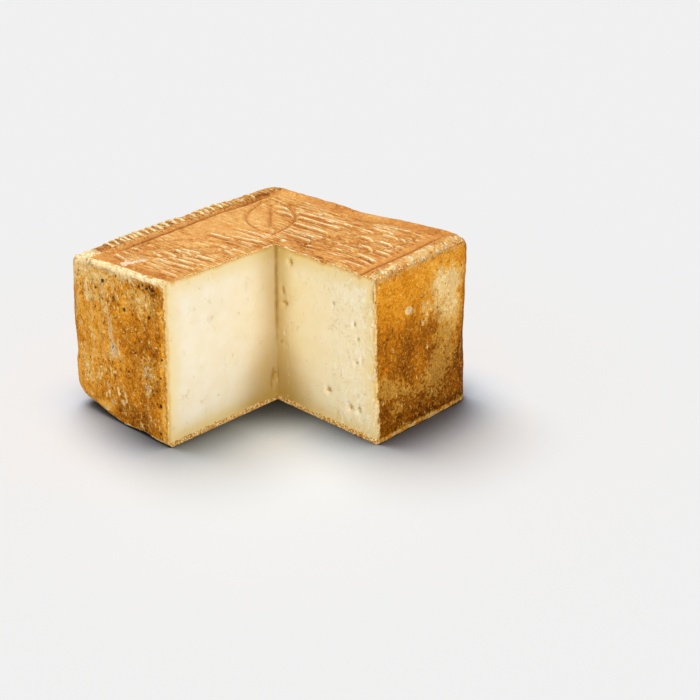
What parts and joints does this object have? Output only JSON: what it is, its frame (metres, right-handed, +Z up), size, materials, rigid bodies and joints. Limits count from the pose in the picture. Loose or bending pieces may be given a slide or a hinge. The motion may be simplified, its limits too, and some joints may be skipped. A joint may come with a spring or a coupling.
{
  "type": "square cheese with a quarter cut out",
  "caption": "Square washed-rind cheese standing on its base, with one quarter cut out down to the base so that two flat cut faces of pale paste show.",
  "frame": {"origin": "middle of the cheese's box, on the surface that it stands on", "axes": "+Z up; the missing quarter is towards +X and -Y; the press ribs of the top run along X"},
  "size_m": [0.1899, 0.187, 0.1166],
  "materials": {
    "rind": "dry, slightly waxy washed rind",
    "paste": "smooth, slightly moist cut paste"
  },
  "bodies": {
    "root": {"cheese": "rind"}
  },
  "joints": []
}
